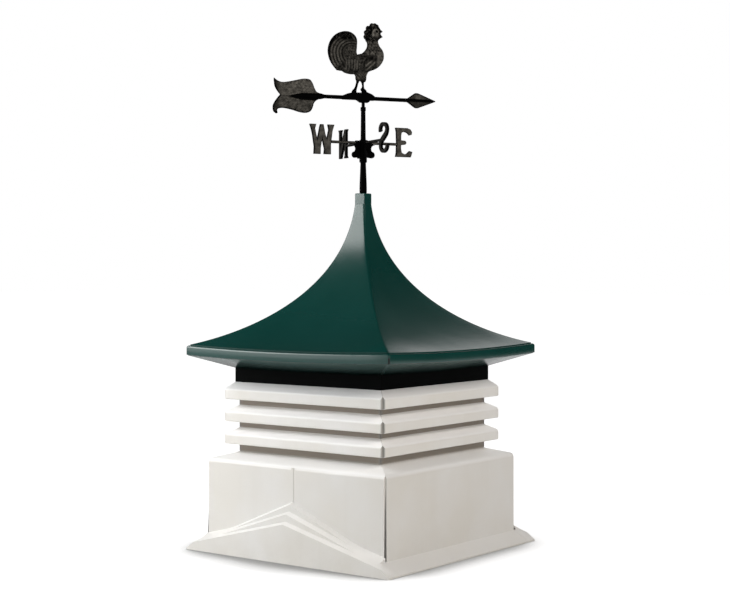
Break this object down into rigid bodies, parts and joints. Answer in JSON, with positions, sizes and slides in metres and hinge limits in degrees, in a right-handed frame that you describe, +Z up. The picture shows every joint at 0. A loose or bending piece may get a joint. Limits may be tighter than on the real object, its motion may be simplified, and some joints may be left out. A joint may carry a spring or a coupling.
{
  "type": "barn cupola",
  "caption": "Square louvred barn cupola with a gable-stepped base, bell roof and a freely turning rooster weathervane with compass letters.",
  "frame": {"origin": "middle of the base at the level it stands on", "axes": "+Z up, +Y along the roof ridge it straddles, away from the front gable face, +X to the right face"},
  "size_m": [0.6942, 0.6942, 1.4565],
  "materials": {
    "white_panels": "satin moulded white",
    "neck": "satin black",
    "roof": "gloss dark green",
    "vane_metal": "dark bronze painted casting"
  },
  "bodies": {
    "cupola": {"base_panel_front": "white_panels", "base_panel_right": "white_panels", "base_panel_back": "white_panels", "base_panel_left": "white_panels", "louvre_panel_front": "white_panels", "louvre_panel_right": "white_panels", "louvre_panel_back": "white_panels", "louvre_panel_left": "white_panels", "neck_board_front": "neck", "neck_board_right": "neck", "neck_board_back": "neck", "neck_board_left": "neck", "roof_panel_front": "roof", "roof_panel_right": "roof", "roof_panel_back": "roof", "roof_panel_left": "roof", "roof_pan": "roof", "apex_collar": "roof", "vane_post": "vane_metal", "compass_hub": "vane_metal", "letter_north": "vane_metal", "letter_east": "vane_metal", "letter_south": "vane_metal", "letter_west": "vane_metal"},
    "vane": {"vane_hub": "vane_metal", "arrow_rod_front": "vane_metal", "arrow_rod_rear": "vane_metal", "arrow_head": "vane_metal", "arrow_tail": "vane_metal", "rooster_body": "vane_metal", "rooster_tail": "vane_metal", "rooster_legs": "vane_metal"}
  },
  "joints": [
    {"name": "vane_spin", "type": "hinge", "parent": "cupola", "child": "vane", "pos_m": [0, 0, 1.2437], "axis": [0, 0, 1], "continuous": true}
  ]
}
